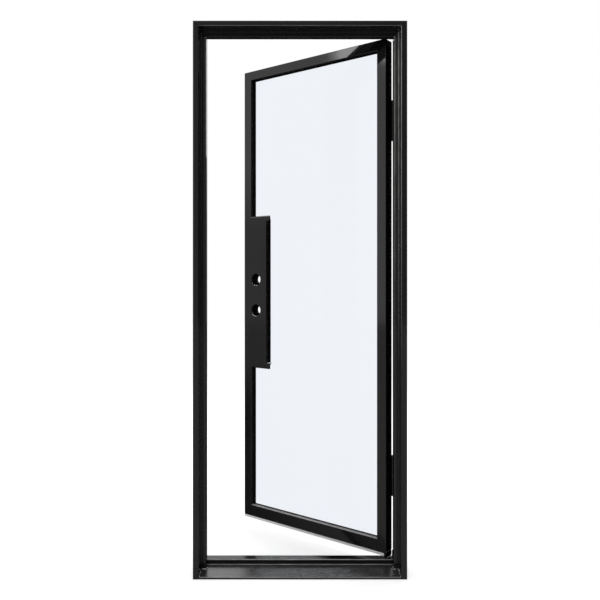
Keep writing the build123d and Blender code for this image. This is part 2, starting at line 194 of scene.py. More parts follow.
join(tree, surround, tree.nodes["World Output"].inputs["Surface"])
print("surround lights at", surround_light)

# %% [markdown]
# ## The floor
#
# The door stands on pale studio paper. A sheet that curves up behind the door is the usual way, but against a
# white surround a wide flat disc looks the same, and stays right from every side. It lies a hair below the sill.
# To the camera it glows a little, so that it comes near to white and still keeps the door's shadow. In gloss it
# glows with a painted shade instead of being lit: dark close to the door, where the door would shade it, and paler
# on the left and in front.

# %% Floor
floor_radius = 14.0
floor_sides = 96
floor_drop = 0.0004

floor_mesh = bmesh.new()
bmesh.ops.create_circle(floor_mesh, cap_ends=True, segments=floor_sides, radius=floor_radius)
bmesh.ops.translate(floor_mesh, verts=floor_mesh.verts, vec=(0, 0, -floor_drop))
floor_data = bpy.data.meshes.new("studio_floor")
floor_mesh.to_mesh(floor_data)
floor_mesh.free()
floor = bpy.data.objects.new("studio_floor", floor_data)
scene.collection.objects.link(floor)
print("floor radius", floor_radius)

# %% Floor paper
floor_shade = (0.82, 0.82, 0.82, 1)
floor_glow = 0.45
near_gloss = 0.03
left_gloss = 0.35
left_fade = (-2.6, -6.0)
front_gloss = 0.45
front_fade = (0.6, -0.2)
shade_slant = 0.2

floor_paper = bpy.data.materials.new("white_floor_paper")
floor_paper.use_nodes = True
tree = floor_paper.node_tree
tree.nodes.remove(tree.nodes["Principled BSDF"])
paper = tree.nodes.new("ShaderNodeBsdfDiffuse")
paper.inputs["Color"].default_value = floor_shade
glow = tree.nodes.new("ShaderNodeEmission")
join(tree, calculate(tree, "MULTIPLY", rays(tree, camera_ray), floor_glow), glow.inputs["Strength"])
lit_paper = tree.nodes.new("ShaderNodeAddShader")
join(tree, paper.outputs[0], lit_paper.inputs[0])
join(tree, glow.outputs[0], lit_paper.inputs[1])
spot = tree.nodes.new("ShaderNodeTexCoord").outputs["Object"]
sideways = axis_of(tree, spot, "X")
# Painted shade: what gloss sees of the floor is dark near the door, and paler to the left and in front.
to_the_left = between(tree, sideways, *left_fade, near_gloss, left_gloss)
slant = calculate(tree, "MULTIPLY", sideways, shade_slant)
behind = calculate(tree, "SUBTRACT", axis_of(tree, spot, "Y"), slant)
to_the_front = between(tree, behind, *front_fade, near_gloss, front_gloss)
mirrored = calculate(tree, "MAXIMUM", to_the_left, to_the_front)
plain_white = tree.nodes.new("ShaderNodeEmission")
join(tree, calculate(tree, "MAXIMUM", mirrored, seen_straight(tree)), plain_white.inputs["Strength"])
floor_look = switch(tree, rays(tree, *onward_rays), lit_paper, plain_white)
join(tree, floor_look, tree.nodes["Material Output"].inputs["Surface"])
floor_data.materials.append(floor_paper)
print("floor paper has", len(tree.nodes), "nodes")

# %% [markdown]
# ## Softboxes
#
# Three soft lamps give the edges their highlights: one high on the left, one overhead and one high behind the
# door. A small lamp would leave only points of light on gloss paint. A large rectangle draws the long, even
# streaks that show a straight section. The camera and the glass don't show the lamps themselves.

# %% Softboxes
door_middle = (0, 0.1, 1.15)
sill_middle = (0, 0, 0)


def softbox(name, place, width, height, watts, target):
    """A rectangular lamp that faces its target. Gloss mirrors it, but the camera and glass don't show it."""
    lamp = bpy.data.lights.new(name, "AREA")
    lamp.shape = "RECTANGLE"
    lamp.size = width
    lamp.size_y = height
    lamp.energy = watts
    holder = bpy.data.objects.new(name, lamp)
    holder.location = place
    holder.rotation_euler = (Vector(target) - Vector(place)).to_track_quat("-Z", "Y").to_euler()
    holder.visible_camera = False
    holder.visible_transmission = False
    scene.collection.objects.link(holder)
    print(name, "gives", round(watts / (math.pi * width * height), 2), "in reflections")


softbox("left_softbox", place=(-3.3, -1.35, 3.75), width=0.8, height=1.0, watts=12.0, target=door_middle)
softbox("top_softbox", place=(0, 0.6, 4.6), width=2.6, height=1.8, watts=44.0, target=door_middle)
softbox("back_softbox", place=(0, 3.4, 3.03), width=2.8, height=1.85, watts=28.0, target=sill_middle)

# %% [markdown]
# ## How a finish is made
#
# Each finish is a function that builds one material. A painted texture would need every part unwrapped. Noise
# on the part's own coordinates needs nothing, and runs on over a corner as a sprayed coat does. A value that
# is the same all over, such as the refractive index, is set on the shader itself.

# %% Texture helpers
noise_low = 0.32
noise_high = 0.68


def new_finish(name):
    """A material, its node tree, its shader and coordinates that stay on the part."""
    material = bpy.data.materials.new(name)
    material.use_nodes = True
    tree = material.node_tree
    place = tree.nodes.new("ShaderNodeTexCoord").outputs["Object"]
    return material, tree, tree.nodes["Principled BSDF"], place


def told(material):
    """Prints what a finished material is made of, and hands it on."""
    print(material.name, "has", len(material.node_tree.nodes), "nodes")
    return material


def grain(tree, place, per_metre, detail=2.0, stretch=(1, 1, 1), turn=0.0):
    """Noise with so many features to the metre, drawn out by stretch and turned about the upright."""
    mapping = tree.nodes.new("ShaderNodeMapping")
    mapping.inputs["Scale"].default_value = stretch
    mapping.inputs["Rotation"].default_value = (0, 0, turn)
    noise = tree.nodes.new("ShaderNodeTexNoise")
    noise.inputs["Scale"].default_value = per_metre
    noise.inputs["Detail"].default_value = detail
    join(tree, place, mapping.inputs["Vector"])
    join(tree, mapping.outputs["Vector"], noise.inputs["Vector"])
    return noise.outputs["Fac"]


def run_stretch(level, along, across=1):
    """The stretch that draws a noise out along a level or an upright run."""
    return (along, across, across) if level else (across, across, along)


def spread(tree, noise, low, high):
    """The middle part of a noise, widened to run from low to high."""
    return between(tree, noise, noise_low, noise_high, low, high)


def shades(tree, noise, dark, light):
    """A colour that wanders between two shades."""
    ramp = tree.nodes.new("ShaderNodeValToRGB")
    ramp.color_ramp.elements[0].position = noise_low
    ramp.color_ramp.elements[1].position = noise_high
    ramp.color_ramp.elements[0].color = (*dark, 1)
    ramp.color_ramp.elements[1].color = (*light, 1)
    join(tree, noise, ramp.inputs["Fac"])
    return ramp.outputs["Color"]


def tinted(tree, share, colour, tint):
    """A colour that goes over to a tint where the share is one."""
    mix = tree.nodes.new("ShaderNodeMix")
    mix.data_type = "RGBA"
    mix.inputs["B"].default_value = (*tint, 1)
    join(tree, share, mix.inputs["Factor"])
    join(tree, colour, mix.inputs["A"])
    return mix.outputs["Result"]


def relief(tree, shader, noise, depth, strength):
    """Presses a noise into the surface; depth is in metres."""
    bump = tree.nodes.new("ShaderNodeBump")
    bump.inputs["Distance"].default_value = depth
    bump.inputs["Strength"].default_value = strength
    join(tree, noise, bump.inputs["Height"])
    join(tree, bump.outputs["Normal"], shader.inputs["Normal"])


print("noise is used from", noise_low, "to", noise_high)

# %% [markdown]
# ## Worn edges and painted highlights
#
# Paint wears pale where feet and hands rub along an edge, and here the same pale lines also paint the highlights
# that edges catch from the lamps. A shader can find every sharp edge by itself, but then all of them wear alike.
# Here a worn edge is a straight line in space, given with a width and a strength, and streaks of noise along the
# line break it up. On upright edges the pale is a painted highlight that fades towards the floor.

# %% Worn edges and painted highlights
edge_width = 0.0026
core_share = 0.2
streaks_per_metre = 60.0
streak_along = 0.3
streak_across = 3
streak_low = 0.45
highlight_fade_bottom = 0.8
highlight_fade_top = 1.95
low_strength = 0.03


def worn_and_highlight_line(corner, shift=(0, 0, 0), width=edge_width, strength=1.0):
    """A line beside a corner, which has None as its coordinate along the run. Two Nones make a level."""
    line = [None if value is None else value + step for value, step in zip(corner, shift)]
    return line, width, strength


def edge_wear_and_highlight(tree, place, lines, level):
    """How pale lines of wear and painted highlight turn the paint. Upright lines are palest at the top, as a
    painted highlight that fades downwards; level ones are pale all along.
    """
    wear_and_highlight = 0.0
    for line, width, strength in lines:
        across = tree.nodes.new("ShaderNodeVectorMath")
        across.operation = "MULTIPLY"
        across.inputs[1].default_value = [0 if value is None else 1 for value in line]
        join(tree, place, across.inputs[0])
        gap = tree.nodes.new("ShaderNodeVectorMath")
        gap.operation = "DISTANCE"
        gap.inputs[1].default_value = [value or 0 for value in line]
        join(tree, across.outputs[0], gap.inputs[0])
        near = between(tree, gap.outputs["Value"], width * core_share, width, strength, 0.0)
        wear_and_highlight = calculate(tree, "MAXIMUM", wear_and_highlight, near)
    stretch = run_stretch(level, streak_along, streak_across)
    streaks = grain(tree, place, streaks_per_metre, detail=4.0, stretch=stretch)
    wear_and_highlight = calculate(tree, "MULTIPLY", wear_and_highlight, spread(tree, streaks, streak_low, 1.0))
    # Painted highlight: upright lines fade from the top down, as edge highlights do.
    if not level:
        height = axis_of(tree, place, "Z")
        height_strength = between(tree, height, highlight_fade_bottom, highlight_fade_top, low_strength, 1.0)
        wear_and_highlight = calculate(tree, "MULTIPLY", wear_and_highlight, height_strength)
    return wear_and_highlight


print("upright edges wear from", highlight_fade_bottom, "to", highlight_fade_top, "m")

# %% [markdown]
# ## Black paint
#
# The steel is sprayed gloss black. Flat black with a sharp gloss would look like glass, so the coat has a fine
# ripple, the steel under it has the long waves of its rolling, and the gloss changes a little where it was wiped.
# The sill's coat has no long waves, and on its slope, between the front lip and the riser, a film of dust dulls
# it. Worn lines turn the paint pale and rough; their pale shade stands both for wear and for painted highlights
# along edges.

# %% Trodden slope
frame_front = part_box("hinge_jamb")[0].y
riser_depth = 0.032
lip_set_back = 0.001
lip_fade = 0.001
riser_fade = (-0.002, -0.001)


def trodden_share(tree, place):
    """One on the sill's slope and zero on the rest of the sill."""
    depth = axis_of(tree, place, "Y")
    lip_depth = frame_front + lip_set_back
    behind_lip = between(tree, depth, lip_depth, lip_depth + lip_fade, 0.0, 1.0)
    riser_start, riser_end = [riser_depth + fade for fade in riser_fade]
    before_riser = between(tree, depth, riser_start, riser_end, 1.0, 0.0)
    return calculate(tree, "MULTIPLY", behind_lip, before_riser)


print("the slope runs from", round(frame_front, 4), "to", riser_depth, "m")

# %% Black paint
paint_dark = (0.0038, 0.0038, 0.0039)
paint_light = (0.0062, 0.0062, 0.0061)
# Pale shade for the worn lines, which are partly wear and partly painted highlights.
worn_and_highlight_shade = (0.45, 0.44, 0.43)
worn_roughness = 0.3
dust_shade = (0.042, 0.042, 0.041)
dust_low = 0.75
sill_roughness = (0.07, 0.17)
wave_along = 0.05
ripple_share = 0.05
ripple_depth = 0.00005
paint_index = 1.5


def black_paint(name, worn_and_highlight_lines=(), level=False, trodden=False):
    """Sprayed gloss black on steel. It turns pale along lines of wear and painted highlight, and dulls where feet
    tread.
    """
    material, tree, shader, place = new_finish(name)
    cloud = grain(tree, place, per_metre=5.0, detail=4.0, stretch=(1, 1, 0.35))
    colour = shades(tree, cloud, paint_dark, paint_light)
    wiped = grain(tree, place, per_metre=9.0, detail=5.0, stretch=(1, 1, 0.25))
    roughness = spread(tree, wiped, low=0.05, high=0.11)
    ripple = calculate(tree, "MULTIPLY", grain(tree, place, per_metre=300.0, detail=1.0), ripple_share)
    if trodden:
        trod = trodden_share(tree, place)
        drift = grain(tree, place, per_metre=7.0, detail=5.0, stretch=(1, 4, 1))
        dust = calculate(tree, "MULTIPLY", trod, spread(tree, drift, dust_low, 1.0))
        colour = tinted(tree, dust, colour, dust_shade)
        roughness = calculate(tree, "ADD", roughness, between(tree, trod, 0.0, 1.0, *sill_roughness))
    else:
        waves = grain(tree, place, per_metre=26.0, detail=1.0, stretch=run_stretch(level, wave_along))
        ripple = calculate(tree, "ADD", waves, ripple)
    if worn_and_highlight_lines:
        wear_and_highlight = edge_wear_and_highlight(tree, place, worn_and_highlight_lines, level)
        colour = tinted(tree, wear_and_highlight, colour, worn_and_highlight_shade)
        roughness = calculate(tree, "ADD", roughness, calculate(tree, "MULTIPLY", wear_and_highlight, worn_roughness))
    join(tree, colour, shader.inputs["Base Color"])
    join(tree, roughness, shader.inputs["Roughness"])
    relief(tree, shader, ripple, ripple_depth, strength=1.0)
    shader.inputs["IOR"].default_value = paint_index
    return told(material)


finishes = {"black_steel": black_paint("gloss_black_paint")}

# %% [markdown]
# ## Scraped weld with painted glints
#
# Some welds were scraped after painting, so that specks of metal break through the black. The specks are painted
# near-white, so they also stand for glints, a painted highlight. Two materials could be mixed for it. One noise
# that moves shade, roughness and relief together is simpler, and makes each speck pale, rougher and raised at
# once.

# %% Scraped weld with painted glints
speck_edge = (0.47, 0.6)
weld_metallic = 0.15


def weld_with_glints():
    """Painted weld metal with scraped specks, painted near-white as glints."""
    material, tree, shader, place = new_finish("weld_paint_with_glints")
    specks = between(tree, grain(tree, place, per_metre=190.0, detail=5.0), *speck_edge, 0.0, 1.0)
    # Near-white specks: scraped metal painted as glints.
    colour = shades(tree, specks, dark=(0.006, 0.006, 0.006), light=(0.95, 0.94, 0.92))
    join(tree, colour, shader.inputs["Base Color"])
    join(tree, spread(tree, specks, low=0.3, high=0.45), shader.inputs["Roughness"])
    relief(tree, shader, specks, depth=0.0006, strength=0.5)
    shader.inputs["Metallic"].default_value = weld_metallic
    return told(material)


weld_finish_with_glints = weld_with_glints()

# %% [markdown]
# ## Glass
#
# The glass unit is coated float glass, faintly blue. A plain see-through shader would mirror nothing. Glass
# with its true refractive index would mirror too much here, where two panes have four faces under a white
# surround, so a low index stands for the coating.

# %% Glass
glass_index = 1.1


def clear_glass():
    """Coated float glass, faintly blue."""
    material, tree, shader, place = new_finish("clear_coated_glass")
    tint = grain(tree, place, per_metre=0.8, detail=1.0)
    colour = shades(tree, tint, dark=(0.93, 0.944, 0.967), light=(0.934, 0.948, 0.97))
    join(tree, colour, shader.inputs["Base Color"])
    shader.inputs["Roughness"].default_value = 0.0
    shader.inputs["IOR"].default_value = glass_index
    shader.inputs["Transmission Weight"].default_value = 1.0
    return told(material)


finishes["clear_glass"] = clear_glass()

# %% [markdown]
# ## Rubber and vinyl
#
# The seals are black rubber, pressed through a die and dull, with a chalky bloom. The sweep is pale vinyl,
# and its die left fine lines along the run. The lines could be modelled, but they are finer than a hair, so
# they are noise drawn out along the strip. The strip lies turned with the open leaf, and so does its noise.

# %% Rubber and vinyl
rubber_index = 1.25
swing_joint = frame["joints"][0]
rest_turn = math.radians(-swing_joint["range_deg"][0])


def seal_rubber():
    """Extruded black rubber with a dull, slightly chalky skin."""
    material, tree, shader, place = new_finish("extruded_seal_rubber")
    bloom = grain(tree, place, per_metre=30.0, detail=4.0)
    colour = shades(tree, bloom, dark=(0.002, 0.002, 0.002), light=(0.005, 0.005, 0.005))
    join(tree, colour, shader.inputs["Base Color"])
    join(tree, spread(tree, bloom, low=0.55, high=0.7), shader.inputs["Roughness"])
    relief(tree, shader, grain(tree, place, per_metre=900.0), depth=0.0002, strength=0.25)
    shader.inputs["IOR"].default_value = rubber_index
    return told(material)


def sweep_vinyl(turn):
    """Pale grey vinyl with the fine lines of its die along the run."""
    material, tree, shader, place = new_finish("pale_sweep_vinyl")
    tone = grain(tree, place, per_metre=14.0, detail=4.0)
    colour = shades(tree, tone, dark=(0.72, 0.72, 0.71), light=(0.81, 0.81, 0.8))
    join(tree, colour, shader.inputs["Base Color"])
    die_lines = grain(tree, place, per_metre=420.0, detail=1.0, stretch=(0.02, 1, 1), turn=turn)
    join(tree, spread(tree, die_lines, low=0.42, high=0.58), shader.inputs["Roughness"])
    relief(tree, shader, die_lines, depth=0.0002, strength=0.3)
    return told(material)


finishes["seal_rubber"] = seal_rubber()
finishes["sweep_vinyl"] = sweep_vinyl(rest_turn)

# %% [markdown]
# ## Bare metals
#
# Pins, washers and screws are turned in a lathe, and the spacer bar between the panes is rolled. All of them
# have fine lines, so one function serves them all, and only shade and roughness differ. The washers are brass
# that oil has darkened.

# %% Bare metals
roughness_swing = 0.2


def lined_metal(name, dark, light, roughness):
    """Bare metal with the fine level lines that turning or rolling leaves."""
    material, tree, shader, place = new_finish(name)
    lines = grain(tree, place, per_metre=500.0, detail=2.0, stretch=(0.04, 0.04, 1))
    join(tree, shades(tree, lines, dark, light), shader.inputs["Base Color"])
    smooth = roughness * (1 - roughness_swing)
    rough = roughness * (1 + roughness_swing)
    join(tree, spread(tree, lines, smooth, rough), shader.inputs["Roughness"])
    relief(tree, shader, lines, depth=0.0001, strength=0.15)
    shader.inputs["Metallic"].default_value = 1.0
    return told(material)


finishes["spacer_bar"] = lined_metal(
    "black_spacer_bar", dark=(0.02, 0.02, 0.02), light=(0.035, 0.035, 0.035), roughness=0.4
)
finishes["pin_steel"] = lined_metal(
    "turned_pin_steel", dark=(0.38, 0.38, 0.38), light=(0.52, 0.52, 0.51), roughness=0.25
)
finishes["washer_brass"] = lined_metal(
    "oil_dark_washer_brass", dark=(0.1, 0.075, 0.035), light=(0.16, 0.12, 0.06), roughness=0.4
)
finishes["screw_steel"] = lined_metal(
    "blackened_screw_steel", dark=(0.03, 0.03, 0.03), light=(0.055, 0.055, 0.055), roughness=0.38
)

# %% [markdown]
# ## Put the finishes on the parts
#
# The record gives each part a material slot, and each slot has a finish by now. Some painted parts then get a coat
# of their own with pale lines, which stand for wear and for painted highlights: the sill and the head along their
# edges, the hinge jamb and its stop along the opening, and painted highlights along the tops of the bottom rail
# and the lock box. One paint with masks for all of them would be harder to follow. The lines are placed from the
# parts' boxes and the sill's section, so they stay on the edges. The head stop isn't worn, and its coat only has
# its waves turned level.

# %% Finishes by slot
for part in frame["record"]["subparts"]:
    data = nodes[part["node"]].data
    data.materials.clear()
    data.materials.append(finishes[part["material_slot"]])
print("finishes:", ", ".join(finishes))

# %% Worn coats and painted highlights
step_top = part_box("threshold")[1].z
slope_front_height = 0.0068
slope_back_height = 0.013
head_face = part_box("head")[0].z
jamb_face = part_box("hinge_jamb")[0].x
stop_low, stop_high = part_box("hinge_stop")
ledge_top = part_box("bottom_rail")[1].z
box_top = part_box("lock_box")[1].z

# Pale lines along the sill's edges, the head's lower edge and the hinge jamb and stop: wear on the sill, and
# painted highlights where edges catch light. The wide, faint lines on the inner faces of the jamb and stop are
# painted reflections.
step_edge = worn_and_highlight_line((None, riser_depth, step_top), shift=(0, 0.0014, -0.0008))
riser_foot = worn_and_highlight_line((None, riser_depth, slope_back_height), shift=(0, -0.0018, -0.0002))
lip_edge = worn_and_highlight_line((None, frame_front, slope_front_height), shift=(0, 0.0038, 0.0002))
head_edge = worn_and_highlight_line((None, frame_front, head_face), shift=(0, 0.0006, 0.0007), strength=0.26)
jamb_corner = (jamb_face, frame_front, None)
jamb_edge = worn_and_highlight_line(jamb_corner, shift=(0.0002, 0.0018, 0), width=0.003)
jamb_inside = worn_and_highlight_line(jamb_corner, shift=(0, 0.039, 0), width=0.034, strength=0.1)
stop_corner = (stop_low.x, stop_low.y, None)
stop_edge = worn_and_highlight_line(stop_corner, shift=(0.0037, 0, 0), width=0.0032, strength=0.75)
stop_inside = worn_and_highlight_line(stop_corner, shift=(0.01, 0, 0), width=0.013, strength=0.13)
# Painted highlights on the lit tops of the bottom rail's ledge and the lock box.
ledge_highlight = worn_and_highlight_line((None, None, ledge_top), width=0.0012)
box_top_highlight = worn_and_highlight_line((None, None, box_top), shift=(0, 0, -0.0002), width=0.0022)
worn_and_highlit_parts = {
    "threshold": black_paint("worn_and_highlit_sill_paint", (step_edge, riser_foot, lip_edge), level=True, trodden=True),
    "head": black_paint("head_highlight_paint", (head_edge,), level=True),
    "head_stop": black_paint("level_black_paint", level=True),
    "hinge_jamb": black_paint("jamb_highlight_paint", (jamb_edge, jamb_inside)),
    "hinge_stop": black_paint("stop_highlight_paint", (stop_edge, stop_inside)),
    "bottom_rail": black_paint("rail_highlight_paint", (ledge_highlight,), level=True),
    "lock_box": black_paint("box_highlight_paint", (box_top_highlight,), level=True),
}
for node, paint in worn_and_highlit_parts.items():
    nodes[node].data.materials[0] = paint

# %% [markdown]
# ## Small pieces, modelled by hand
#
# Welds, screw heads and trim are too small for the construction, but they are what makes metalwork look made.
# The leaf's pieces are placed as if the leaf were closed and square to the frame, and are then turned about
# the hinge axis to where the leaf rests. Every piece is finished the same way: its faces are turned outwards,
# it rides on the frame or on the leaf, and it takes one of the finishes above.

# %% Piece helpers
hinge_place = Vector(swing_joint["pos_m"])
to_hinge = Matrix.Translation(hinge_place)
open_leaf = to_hinge @ Matrix.Rotation(-rest_turn, 4, "Z") @ to_hinge.inverted()
close_leaf = open_leaf.inverted()
sharp_edge = math.radians(40)


def closed_box(node):
    """The lowest and highest corners of one of the leaf's parts, with the leaf closed."""
    points = np.array([close_leaf @ vert.co for vert in nodes[node].data.vertices])
    return Vector(points.min(axis=0)), Vector(points.max(axis=0))


def finish_piece(name, mesh, body, slot, finish=None):
    """Makes a piece of a bmesh. It rides on a body and takes its finish from a slot."""
    if body == "leaf":
        bmesh.ops.transform(mesh, matrix=open_leaf, verts=mesh.verts)
    bmesh.ops.recalc_face_normals(mesh, faces=mesh.faces)
    data = bpy.data.meshes.new(name)
    mesh.to_mesh(data)
    mesh.free()
    data.shade_smooth()
    data.set_sharp_from_angle(angle=sharp_edge)
    data.materials.append(finish or finishes[slot])
    piece = bpy.data.objects.new(name, data)
    scene.collection.objects.link(piece)
    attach(piece, body)
    print(name, "has", len(data.polygons), "faces")
    return piece


print("the leaf rests", round(math.degrees(rest_turn), 1), "degrees open")

# %% [markdown]
# ## Weld runs
#
# A weld is a row of small pools, each frozen over the edge of the one before. Bump in a material could show
# the pools, but the weld's outline would stay straight. So a ring of edges is extruded along its line in
# short steps, and swells and shrinks once for each pool.

# %% Weld runs
run_sides = 12
rings_per_pool = 4
fewest_pools = 2
end_share = 0.4


def made(result, kind):
    """The new verts, edges or faces that a bmesh operator made."""
    return [item for item in result["geom"] if isinstance(item, kind)]


def edges_of(verts):
    """The edges at these verts, each of them once and always in the same order."""
    return list(dict.fromkeys(edge for vert in verts for edge in vert.link_edges))


def extruded(mesh, rim):
    """Extrudes a rim of edges in place, and gives the new rim's verts and edges."""
    grown = bmesh.ops.extrude_edge_only(mesh, edges=rim)
    verts = made(grown, bmesh.types.BMVert)
    edges = [edge for edge in made(grown, bmesh.types.BMEdge) if all(v in verts for v in edge.verts)]
    return verts, edges


def weld_run(mesh, start, end, radius, pool, depth_share):
    """A round run from start to end, with pools of one length that pinch in by a share of the radius."""
    start = Vector(start)
    run = Vector(end) - start
    rings = max(fewest_pools, round(run.length / pool)) * rings_per_pool
    facing = Matrix.Translation(start) @ run.to_track_quat("Z", "Y").to_matrix().to_4x4()
    circle = bmesh.ops.create_circle(
        mesh, cap_ends=True, segments=run_sides, radius=radius * end_share, matrix=facing
    )
    rim = edges_of(circle["verts"])
    share = end_share
    for ring in range(1, rings + 1):
        verts, rim = extruded(mesh, rim)
        bmesh.ops.translate(mesh, verts=verts, vec=run / rings)
        pinch = 1 - abs(math.sin(math.pi * ring / rings_per_pool))
        next_share = end_share if ring == rings else 1 - depth_share * pinch
        centre = start + run * ring / rings
        size = next_share / share
        bmesh.ops.scale(mesh, verts=verts, vec=(size, size, size), space=Matrix.Translation(-centre))
        share = next_share
    bmesh.ops.holes_fill(mesh, edges=rim, sides=0)


print("a weld run has", run_sides, "sides and", rings_per_pool, "rings to a pool")

# %% [markdown]
# ## Hinge welds
#
# Each hinge is two barrels on one pin. The lower barrel is welded to the jamb and the upper one to the leaf,
# with one run along the barrel's side that stops short of both ends. These welds are painted with the rest.

# %% Hinge welds
weld_inset = 0.006
jamb_weld_offset = Vector((0.0121, -0.0024, 0))
leaf_weld_offset = Vector((-0.0083, -0.0106, 0))
jamb_weld = {"radius": 0.0024, "pool": 0.0026, "depth_share": 0.3}
leaf_weld = {"radius": 0.0022, "pool": 0.0026, "depth_share": 0.3}


def barrel_weld(mesh, barrel, offset, weld):
    """One run along a barrel, at an offset from the hinge axis."""
    low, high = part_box(barrel)
    side = (hinge_place + offset).xy
    weld_run(mesh, (*side, low.z + weld_inset), (*side, high.z - weld_inset), **weld)


jamb_welds = bmesh.new()
leaf_welds = bmesh.new()
for hinge in ("upper", "lower"):
    barrel_weld(jamb_welds, hinge + "_hinge_jamb_barrel", jamb_weld_offset, jamb_weld)
    barrel_weld(leaf_welds, hinge + "_hinge_leaf_barrel", leaf_weld_offset, leaf_weld)
finish_piece("hinge_jamb_welds", jamb_welds, "frame", "black_steel")
finish_piece("hinge_leaf_welds", leaf_welds, "leaf", "black_steel")

# %% [markdown]
# ## Sill welds and stop seams
#
# Ragged welds run along the foot of each jamb and stop bar, and across each bar under the head stop. They are the
# scraped ones, whose near-white specks are painted glints. The long joints between the stop bars and the frame are
# filled and painted over. The same run with long, shallow waves makes such a seam, and its paint carries painted
# highlights, strong on the hinge side and faint on the other.

# %% Places on the frame
corner_lift = 0.0006
weld_set_back = 0.0015
sill_weld_front = frame_front + weld_set_back
stop_weld_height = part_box("head_stop")[0].z - corner_lift
seam_depth = stop_low.y - corner_lift
seam_height = head_face - corner_lift


def on_slope(x, y):
    """A place on the threshold's slope."""
    share = (y - frame_front) / (riser_depth - frame_front)
    rise = share * (slope_back_height - slope_front_height)
    return x, y, slope_front_height + rise + corner_lift


print("the slope is", round(on_slope(0, stop_low.y)[2], 4), "m high at the stops")

# %% Sill welds and stop seams
slope_weld = {"radius": 0.0014, "pool": 0.0035, "depth_share": 0.35}
stop_side_weld = {"radius": 0.0016, "pool": 0.0032, "depth_share": 0.4}
stop_foot_weld = {"radius": 0.0036, "pool": 0.0045, "depth_share": 0.55}
stop_top_weld = {"radius": 0.0016, "pool": 0.0034, "depth_share": 0.5}
seam = {"radius": 0.0018, "pool": 0.02, "depth_share": 0.06}

sill_welds = bmesh.new()
stop_welds = bmesh.new()
stop_seams = bmesh.new()
for side in (-1, 1):
    jamb_x = side * (jamb_face - corner_lift)
    stop_x = side * (stop_low.x - corner_lift)
    jamb_foot = on_slope(jamb_x, stop_low.y)
    stop_foot = on_slope(stop_x, stop_low.y)
    weld_run(sill_welds, on_slope(jamb_x, sill_weld_front), jamb_foot, **slope_weld)
    weld_run(sill_welds, stop_foot, on_slope(stop_x, stop_high.y), **stop_side_weld)
    weld_run(stop_welds, jamb_foot, stop_foot, **stop_foot_weld)
    top_start = (jamb_x, stop_low.y, stop_weld_height)
    top_end = (stop_x, stop_low.y, stop_weld_height)
    weld_run(stop_welds, top_start, top_end, **stop_top_weld)
    weld_run(stop_seams, on_slope(jamb_x, seam_depth), (jamb_x, seam_depth, seam_height), **seam)
head_seam_left = (-jamb_face, seam_depth, seam_height)
head_seam_right = (jamb_face, seam_depth, seam_height)
weld_run(stop_seams, head_seam_left, head_seam_right, **seam)
finish_piece("sill_welds", sill_welds, "frame", "black_steel", finish=weld_finish_with_glints)
finish_piece("stop_welds", stop_welds, "frame", "black_steel", finish=weld_finish_with_glints)

# %% Seam paint
hinge_corner = (jamb_face, stop_low.y, None)
strike_corner = (-jamb_face, stop_low.y, None)
# Painted highlights along the seams, strong on the hinge side and faint on the strike side.
hinge_seam = worn_and_highlight_line(hinge_corner, shift=(-0.0013, -0.0016, 0), width=0.0036)
strike_seam = worn_and_highlight_line(strike_corner, shift=(0.0013, -0.0016, 0), width=0.003, strength=0.1)
seam_paint = black_paint("seam_highlight_paint", (hinge_seam, strike_seam))
finish_piece("stop_seams", stop_seams, "frame", "black_steel", finish=seam_paint)

# %% [markdown]
# ## Bores of the lock box
#
# The two bores are drilled after the box is welded. Their inside lies in shade, which each bore's thin, dark and
# dull lining paints; the lining is spun about the bore's axis and left open where the latch would pass. It ends in
# a narrower collar at the back. A fine rim stands up where the paint has drawn back from the edge of the hole. At
# the rim's lower left, where it catches the light, a painted highlight is given as bright scraped metal. All three
# are closed outlines of radius and depth, because a spun outline stays truly round.

# %% Dull lining that paints the bore's shade
dull_index = 1.12


def bore_shade_black():
    """A thin, dark and dull lining that paints the shade inside a bore."""
    material, tree, shader, place = new_finish("painted_bore_shade_lining")
    dust = grain(tree, place, per_metre=700.0, detail=3.0)
    # Dark colour that paints the shade inside the bore.
    colour = shades(tree, dust, dark=(0.0015, 0.0015, 0.0015), light=(0.004, 0.004, 0.004))
    join(tree, colour, shader.inputs["Base Color"])
    join(tree, spread(tree, dust, low=0.7, high=0.85), shader.inputs["Roughness"])
    relief(tree, shader, dust, depth=0.0002, strength=0.3)
    shader.inputs["IOR"].default_value = dull_index
    return told(material)


painted_bore_shade = bore_shade_black()

# %% Bore rings
bore_set_in = 0.07
bore_x = closed_box("lock_stile")[0].x + bore_set_in
lower_bore_height = 0.9983
bore_spacing = 0.1397
leaf_front = closed_box("lock_box")[0].y
bore_axis = (0, 1, 0)
spin_steps = 60


def bore_ring(mesh, height, profile, start=0.0, turn=math.tau):
    """Spins a closed profile of radius and depth about a bore, from a start angle, whole or in part."""
    centre = Vector((bore_x, leaf_front, height))
    first_side = Matrix.Rotation(start, 3, "Y")
    verts = []
    for radius, depth in profile:
        verts += bmesh.ops.create_vert(mesh, co=centre + first_side @ Vector((radius, depth, 0)))["vert"]
    edges = [mesh.edges.new(pair) for pair in zip(verts, verts[1:] + verts[:1])]
    whole = turn == math.tau
    ends = [] if whole else [mesh.faces.new(verts)]
    bmesh.ops.spin(
        mesh,
        geom=[*verts, *edges, *ends],
        axis=bore_axis,
        cent=centre,
        angle=turn,
        steps=spin_steps,
        use_merge=whole,
    )


print("bores at", round(bore_x, 4), "and", lower_bore_height, "m")

